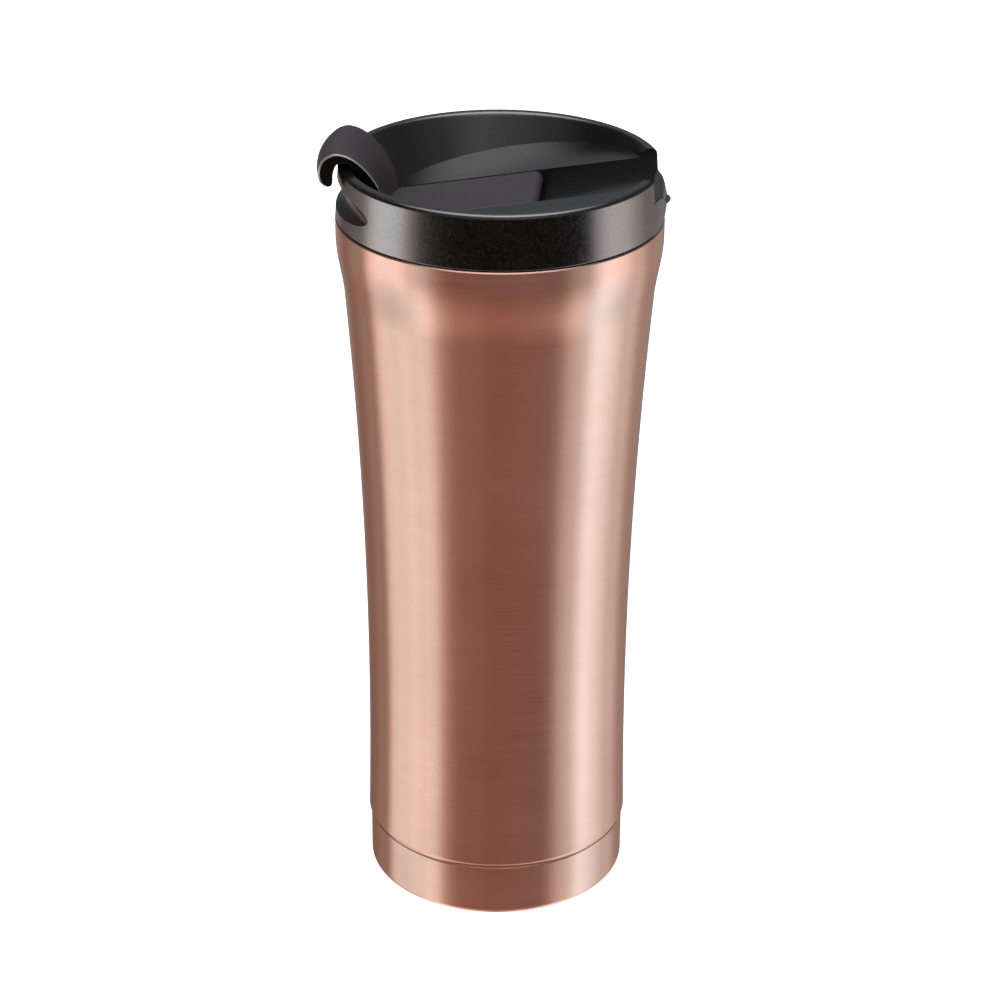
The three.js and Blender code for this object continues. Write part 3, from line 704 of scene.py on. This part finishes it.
def lid_shell():
    body = turned("lid_body", rim_section())
    body = join(body, bowl_floor(), scoop_backing(), catch_panel(), catch_lug())
    pocket = on_floor(block("pocket", (-60, HINGE_X), (-CHANNEL_HALF, CHANNEL_HALF), (-POCKET_DEPTH, 40)))
    pocket = common(pocket, cylinder("end", POCKET_RADIUS))
    channel = on_channel(block("channel", (HINGE_X - 2, 60), (-CHANNEL_HALF, CHANNEL_HALF), (0, 40)))
    barrel = cross_cylinder("barrel", LEVER_THICK / 2 + GAP, CHANNEL_HALF, HINGE_X, HINGE_Z)
    bore = cross_cylinder("bore", PIN_BORE_RADIUS, PIN_HALF + GAP, HINGE_X, HINGE_Z)
    spout = on_floor(oval("spout", SPOUT_S, SPOUT_HALF, (-12, 4)))
    vent = on_floor(oval("vent", VENT_S, (VENT_RADIUS, VENT_RADIUS), (-12, 4)))
    body = cut(body, pocket, channel, barrel, notch_fall(), scoop_cutter(), spout, vent, bore)
    return place(smooth(body), "lid", ["lid_shell"], BLACK)


def lid_plug():
    flange_radius, flange_top = PLUG_FLANGE
    foot = PLUG_FOOT_Z
    section = [
        (0, foot),
        *arc((PLUG_FOOT_RADIUS - 0.8, foot + 0.8), 0.8, -90, 0, 5),
        (PLUG_FOOT_RADIUS, foot + 2.1),
        (PLUG_WAIST_RADIUS, foot + 2.1),
        (PLUG_WAIST_RADIUS, PLUG_STEP_Z),
        *arc((PLUG_RADIUS - 0.4, PLUG_STEP_Z + 0.4), 0.4, -90, 0, 4),
        (PLUG_RADIUS, LID_FOOT_Z),
        (flange_radius, LID_FOOT_Z),
        (flange_radius, flange_top),
        (PLUG_RADIUS - PLUG_WALL, flange_top),
        (PLUG_RADIUS - PLUG_WALL, PLUG_STEP_Z + 2),
        (PLUG_WAIST_RADIUS - PLUG_WALL, PLUG_STEP_Z),
        (PLUG_WAIST_RADIUS - PLUG_WALL, foot + 2),
        (0, foot + 2),
    ]
    body = turned("plug_body", section)
    ridge = thread_ridge("ridge", PLUG_RADIUS - 0.2, MALE_CREST, MALE_START_Z, 0, 1.05)
    top = -POCKET_DEPTH - LID_WALL - 2 * GAP - SEAL_THICK
    tubes, holes = [], []
    for s, half, wall in ((SPOUT_S, SPOUT_HALF, PLUG_WALL), (VENT_S, (VENT_RADIUS, VENT_RADIUS), 1.4)):
        tube = on_floor(oval("tube", s, (half[0] + wall, half[1] + wall), (-30, top)))
        tubes.append(common(tube, cylinder("keep", 60, foot + 1)))
        holes.append(on_floor(oval("hole", s, half, (-40, 10))))
    body = cut(join(body, ridge, *tubes), *holes)
    return place(smooth(body), "lid", ["lid_plug"], BLACK)


def lid_gasket():
    """Ring with two round sealing lips."""
    foot = PLUG_FOOT_Z + 2.5
    top = PLUG_STEP_Z - GAP
    inner = PLUG_WAIST_RADIUS + GAP
    section = [
        (inner, foot),
        (37.0, foot),
        *arc((37.0, foot + 0.8), 0.8, -90, 60, 8),
        (36.9, foot + 1.6),
        *arc((37.1, top - 0.7), 0.7, -60, 90, 8),
        (inner, top),
    ]
    return place(smooth(turned("gasket_ring", section)), "gasket", ["lid_gasket"], SILICONE)


# ---- Lever ----
def plane_z(x, depth=0.0):
    """Height of the lever plane at x, or of a plane that lies depth below it."""
    return FLOOR_Z + x * math.tan(FLOOR_TILT) - depth / math.cos(FLOOR_TILT)


def lever_outline():
    """The lever's side view at its middle, as (x, z, kind).

    Hook points turn about the cup, and the others lie on the lever's plane or round its hinge.
    """
    tip = spline(
        [(42.95, 203.4), (43.05, 201.3), (43.4, 200.5), (44.3, 200.2), (45.5, 200.6), (46.3, 201.7),
         (46.6, 203.7)], 5)
    over = spline(
        [(46.6, 203.7), (46.25, 205.7), (45.3, 207.4), (43.5, 208.6), (41.5, 209.0), (38.6, 208.1),
         (35.6, 205.8), (32.7, 202.0), (30.6, 197.2), (29.5, 191.99)], 6)
    under = spline(
        [(31.9, 190.0), (32.3, 193.4), (33.1, 197.0), (34.7, 200.8), (36.9, 204.1), (39.2, 206.1),
         (41.0, 206.5), (42.25, 205.7), (42.95, 203.4)], 6)
    hook_top = [(-r, z, "hook") for r, z in [*tip, *over[1:]]]
    hook_under = [(-r, z, "hook") for r, z in under[:-1]]
    tilt_deg = math.degrees(FLOOR_TILT)
    barrel = arc((HINGE_X, HINGE_Z), LEVER_THICK / 2, 90 + tilt_deg, -90 + tilt_deg, 20)
    top = [(x, plane_z(x), "top") for x in np.linspace(-CREASE_RADIUS, barrel[0][0], 14)[1:-1]]
    end = [(x, z, "end") for x, z in barrel]
    low = [(x, plane_z(x, LEVER_THICK), "low") for x in np.linspace(barrel[-1][0], -30.6, 14)[1:]]
    corner = [(x, plane_z(x, LEVER_THICK - rise), "low") for x, rise in ((-31.3, 0.5), (-31.75, 1.4))]
    return [*hook_top, *top, *end, *low, *corner, *hook_under]


def inward(outline, amount):
    """The outline moved towards its inside."""
    p = np.array([(x, z) for x, z, _ in outline])
    along = np.roll(p, -1, 0) - np.roll(p, 1, 0)
    along /= np.linalg.norm(along, axis=1)[:, None]
    area = np.sum(p[:, 0] * np.roll(p[:, 1], -1) - np.roll(p[:, 0], -1) * p[:, 1])
    normal = np.stack([-along[:, 1], along[:, 0]], 1) * np.sign(area)
    moved = p + normal * amount
    return [(x, z, kind) for (x, z), (_, _, kind) in zip(moved, outline)]


def lever_loop(outline, y):
    """The outline at y from the middle. The hook follows the round rim, and the flat part keeps its plane."""
    flat_until, hook_foot, hook_rise = 18.0, 192.0, 6.0  # where the bend round the cup fades in
    loop = []
    for x, z, kind in outline:
        shift = -x - math.sqrt(x * x - y * y) if x < -LEVER_HALF - 1 else 0.0
        fade = min(max((-x - flat_until) / (CREASE_RADIUS - flat_until), 0.0), 1.0)
        if kind == "hook":
            reach = min(max((z - hook_foot) / hook_rise, 0.0), 1.0)
            lift = shift * math.tan(FLOOR_TILT) * (1 - reach)
            loop.append((x + shift, y, z + lift))
        elif kind == "end":
            loop.append((x, y, z))
        else:
            moved = x + shift * fade
            loop.append((moved, y, z + (moved - x) * math.tan(FLOOR_TILT)))
    return loop


def flip_lever():
    edge = 0.55  # rounding along both sides
    outline = lever_outline()
    turns = np.radians([0, 20, 40, 60, 78])
    rounding = [(LEVER_HALF - edge + edge * math.sin(t), edge * (1 - math.cos(t))) for t in turns]
    stations = [(-y, inset) for y, inset in reversed(rounding)]
    stations += [(y, 0.0) for y in np.linspace(-LEVER_HALF + edge, LEVER_HALF - edge, 26)[1:-1]]
    stations += rounding
    body = lofted("lever_body", [lever_loop(inward(outline, inset), y) for y, inset in stations])
    bore = cross_cylinder("bore", PIN_BORE_RADIUS, CHANNEL_HALF + 1, HINGE_X, HINGE_Z)
    recess = on_floor(block(
        "recess",
        (CARRIER_S[0] - GAP, CARRIER_S[1] + GAP),
        (-CARRIER_HALF - GAP, CARRIER_HALF + GAP),
        (-LEVER_THICK - 5, RECESS_ROOF),
    ))
    body = place(smooth(cut(body, bore, recess), 40), "lever", ["flip_lever"], LEVER_TOP_PAINTED_LIT)
    # Black for the sides and underside, and a painted highlight for the hook's side edges; every other face
    # keeps the painted-lit top colour
    for look in (LEVER_SIDE, LEVER_EDGE_PAINTED_HIGHLIGHT):
        body.data.materials.append(look)
    for face in body.data.polygons:
        face.material_index = lever_face(face.center / MM, face.normal)
    return body


def lever_face(centre, normal):
    """0 for the top and outer faces, painted lighter as if lit from above, 1 for the black sides and
    underside, 2 for the glossy edge along the hook, painted light as a highlight.
    """
    radius = math.hypot(centre.x, centre.y)
    outward = (normal.x * centre.x + normal.y * centre.y) / max(radius, 1)
    painted_lit_face = normal.z > 0.05 or (outward > 0.3 and radius > 44.6) or (outward < -0.3 and radius < 31)
    at_side = abs(centre.y) > LEVER_HALF - 0.6 and abs(normal.y) > 0.2 and centre.x < HINGE_X - 4
    if at_side and painted_lit_face and radius > 32 and abs(normal.y) < 0.97:
        return 2
    at_hinge = centre.x > HINGE_X - 1
    return 0 if painted_lit_face or at_hinge else 1


outer_shell()
base_cap()
liner()
liner_bottom()
foot_pad()
lid_shell()
lid_plug()
lid_gasket()
flip_lever()

CARRIED_OVER = {
    "heat_foil": FOIL,
    "getter_clip": STEEL_LOOK,
    "getter_pellet": GETTER,
    "vacuum_seal_bead": GLASS,
    "hinge_pin": STEEL_LOOK,
    "spout_seal": SILICONE,
    "vent_seal": SILICONE,
    "seal_carrier": BLACK,
    "spout_stopper": SILICONE,
    "vent_stopper": SILICONE,
}
for node, look in CARRIED_OVER.items():
    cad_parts[node].data.materials.clear()
    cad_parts[node].data.materials.append(look)


# ---- Stage, light and camera ----
def stage_floor():
    """Pale floor that curves up into the backdrop. It is seen, but gives no light and no reflection."""
    profile = [(0.02, 0), (1, 0), (3, 0), *arc((3, 2), 2, -90, 0, 12)[1:], (5, 8)]  # metres
    facets = 64
    turns = [2 * math.pi * k / facets for k in range(facets)]
    corners = [(r * math.cos(t), r * math.sin(t), z) for r, z in profile for t in turns]
    faces = [tuple(range(facets))]
    for ring in range(len(profile) - 1):
        low, high = ring * facets, (ring + 1) * facets
        faces += [(low + k, low + (k + 1) % facets, high + (k + 1) % facets, high + k) for k in range(facets)]
    mesh = bpy.data.meshes.new("studio_floor")
    mesh.from_pydata(corners, [], faces)
    floor = bpy.data.objects.new("studio_floor", mesh)
    bpy.context.scene.collection.objects.link(floor)
    made, nodes, links, shader = material("pale_floor", Roughness=0.9)
    cloud = noise(nodes, links, place_coordinates(nodes), 3.0, 3.0)
    colour = colour_mix(nodes, links, cloud, (0.90, 0.90, 0.90), (0.92, 0.92, 0.92))
    links.new(colour, shader.inputs["Base Color"])
    mesh.materials.append(made)
    shader.inputs["Emission Color"].default_value = (1, 1, 1, 1)
    shader.inputs["Emission Strength"].default_value = 0.9
    floor.visible_glossy = False
    floor.visible_diffuse = False
    floor.visible_shadow = False


def azimuth_ramp(nodes, links, turn, stops):
    """A colour for each direction round the cup.

    A stop is the direction, in degrees from the front towards +X, and the light there.
    """
    ramp = nodes.new("ShaderNodeValToRGB")
    ramp.color_ramp.interpolation = "EASE"
    elements = ramp.color_ramp.elements
    while len(elements) < len(stops):
        elements.new(0.5)
    for element, (degrees, light) in zip(elements, stops):
        element.position = (degrees + 180) / 360
        element.color = (*light, 1)
    links.new(turn, ramp.inputs["Fac"])
    return ramp.outputs["Color"]


def blend_at(nodes, links, height, start, end, below, above):
    """Changes from one light to another between two elevations in degrees."""
    low, high = math.sin(math.radians(start)), math.sin(math.radians(end))
    share = value_map(nodes, links, height, 0, 1, low, high)
    node = nodes.new("ShaderNodeMix")
    node.data_type = "RGBA"
    links.new(share, node.inputs["Factor"])
    links.new(below, node.inputs["A"])
    links.new(above, node.inputs["B"])
    return node.outputs["Result"]


def surround():
    """The studio as one world light: five zones, one above the other, each with its own ramp of colours."""
    world = bpy.data.worlds.new("studio")
    bpy.context.scene.world = world
    world.use_nodes = True
    nodes, links = world.node_tree.nodes, world.node_tree.links
    direction = nodes.new("ShaderNodeTexCoord").outputs["Generated"]
    split = nodes.new("ShaderNodeSeparateXYZ")
    links.new(direction, split.inputs["Vector"])
    angle = nodes.new("ShaderNodeMath")
    angle.operation = "ARCTAN2"
    links.new(split.outputs["X"], angle.inputs[0])
    flip = nodes.new("ShaderNodeMath")
    flip.operation = "MULTIPLY"
    flip.inputs[1].default_value = -1
    links.new(split.outputs["Y"], flip.inputs[0])
    links.new(flip.outputs["Value"], angle.inputs[1])
    turn = value_map(nodes, links, angle.outputs["Value"], 0, 1, -math.pi, math.pi)
    height = split.outputs["Z"]
    zones = (FLOOR_LIGHT, BOARD_LIGHT, STRIP_LIGHT, ROOM_LIGHT, TOP_LIGHT)
    ramps = [azimuth_ramp(nodes, links, turn, stops) for stops in zones]
    light = ramps[0]
    for (start, end), above in zip(ZONE_EDGES, ramps[1:]):
        light = blend_at(nodes, links, height, start, end, light, above)
    links.new(light, nodes["Background"].inputs["Color"])
    nodes["Background"].inputs["Strength"].default_value = WORLD_STRENGTH


WORLD_STRENGTH = 2.6
ZONE_EDGES = [(-66, -46), (-27, -22), (-8, -2), (50, 64)]  # degrees above the horizon where a zone ends
FLOOR_LIGHT = [  # under the cup, seen in its shoulder
    (-180, (0.16, 0.14, 0.13)),
    (-130, (0.5, 0.44, 0.41)),
    (-100, (0.72, 0.62, 0.58)),
    (-70, (0.7, 0.59, 0.54)),
    (-50, (0.5, 0.39, 0.34)),
    (-30, (0.38, 0.27, 0.22)),
    (0, (0.34, 0.23, 0.18)),
    (30, (0.34, 0.24, 0.19)),
    (48, (0.42, 0.33, 0.29)),
    (62, (0.64, 0.54, 0.49)),
    (80, (0.7, 0.62, 0.58)),
    (105, (0.82, 0.74, 0.7)),
    (130, (0.78, 0.7, 0.66)),
    (180, (0.16, 0.14, 0.13)),
]
BOARD_LIGHT = [  # boards and boxes low round the cup, seen in its wall
    (-180, (0.08, 0.07, 0.065)),
    (-150, (0.095, 0.078, 0.069)),
    (-135, (0.116, 0.065, 0.033)),
    (-122, (0.165, 0.109, 0.095)),
    (-112, (0.05, 0.028, 0.016)),
    (-103, (0.286, 0.379, 0.413)),
    (-94, (0.091, 0.164, 0.181)),
    (-84, (0.096, 0.145, 0.15)),
    (-72, (0.296, 0.416, 0.455)),
    (-60, (0.691, 0.771, 0.782)),
    (-52, (0.621, 0.632, 0.631)),
    (-45, (0.281, 0.173, 0.114)),
    (-38, (0.168, 0.093, 0.064)),
    (-30, (0.125, 0.04, 0.02)),
    (-15, (0.114, 0.036, 0.021)),
    (0, (0.089, 0.014, 0)),
    (20, (0.085, 0.011, 0)),
    (36, (0.075, 0, 0)),
    (46, (0.056, 0, 0)),
    (54, (0.082, 0.035, 0.014)),
    (62, (0.319, 0.28, 0.267)),
    (70, (0.489, 0.442, 0.421)),
    (78, (0.405, 0.445, 0.439)),
    (86, (0.509, 0.745, 0.878)),
    (94, (0.349, 0.582, 0.723)),
    (104, (0.267, 0.452, 0.532)),
    (116, (0.101, 0.196, 0.239)),
    (130, (0.351, 0.391, 0.402)),
    (145, (0.159, 0.123, 0.1)),
    (180, (0.08, 0.07, 0.065)),
]
STRIP_LIGHT = [  # strip boxes on both sides, seen in the lid's band
    (-180, (0.1, 0.095, 0.09)),
    (-150, (0.168, 0.153, 0.138)),
    (-134, (0.124, 0.067, 0.061)),
    (-120, (0.155, 0.137, 0.137)),
    (-112, (0.195, 0.188, 0.173)),
    (-104, (0.202, 0.16, 0.142)),
    (-96, (0.842, 0.687, 0.639)),
    (-86, (1, 1, 1)),
    (-76, (1, 1, 1)),
    (-68, (1, 0.896, 0.823)),
    (-60, (0.385, 0.264, 0.243)),
    (-50, (0.028, 0.023, 0.018)),
    (-36, (0, 0, 0)),
    (0, (0, 0, 0)),
    (36, (0, 0, 0)),
    (50, (0, 0, 0)),
    (60, (0, 0, 0.001)),
    (68, (0.013, 0, 0.013)),
    (76, (0.522, 0.481, 0.47)),
    (84, (0.916, 0.773, 0.753)),
    (92, (0.887, 0.754, 0.738)),
    (102, (0.788, 0.67, 0.626)),
    (114, (0.436, 0.355, 0.319)),
    (128, (0.21, 0.163, 0.16)),
    (142, (0.191, 0.175, 0.166)),
    (180, (0.1, 0.095, 0.09)),
]
ROOM_LIGHT = [  # the dim room, seen in the bowl
    (-180, (0.078, 0.081, 0.089)),
    (-140, (0.03, 0.03, 0.03)),
    (-110, (0.015, 0.015, 0.015)),
    (-74, (0.012, 0.012, 0.012)),
    (-38, (0.05, 0.05, 0.05)),
    (-4, (0.085, 0.085, 0.087)),
    (24, (0.11, 0.11, 0.113)),
    (57, (0.05, 0.05, 0.05)),
    (91, (0.03, 0.03, 0.03)),
    (140, (0.035, 0.035, 0.036)),
    (180, (0.078, 0.081, 0.089)),
]
TOP_LIGHT = [  # the bright ceiling
    (-180, (0.35, 0.345, 0.35)),
    (-60, (0.95, 0.92, 0.93)),
    (60, (1, 1, 1)),
    (180, (0.35, 0.345, 0.35)),
]


def camera():
    """Above the rim, a little to the right of the front, looking down at the cup's middle."""
    azimuth, pitch, roll = math.radians(4.6), math.radians(25.64), 0.0061
    distance, height = 0.7232, 0.4562
    data = bpy.data.cameras.new("camera")
    data.sensor_width = 36
    data.lens = 107.87
    data.shift_x = 0.00175
    data.clip_start, data.clip_end = 0.05, 50
    cam = bpy.data.objects.new("camera", data)
    bpy.context.scene.collection.objects.link(cam)
    place_at = Matrix.Translation((distance * math.sin(azimuth), -distance * math.cos(azimuth), height))
    aim = Matrix.Rotation(azimuth, 4, "Z") @ Matrix.Rotation(math.pi / 2 - pitch, 4, "X")
    cam.matrix_world = place_at @ aim @ Matrix.Rotation(roll, 4, "Z")
    bpy.context.scene.camera = cam


camera()
stage_floor()
surround()
bpy.context.scene.view_settings.view_transform = "Standard"
bpy.context.scene.view_settings.look = "None"
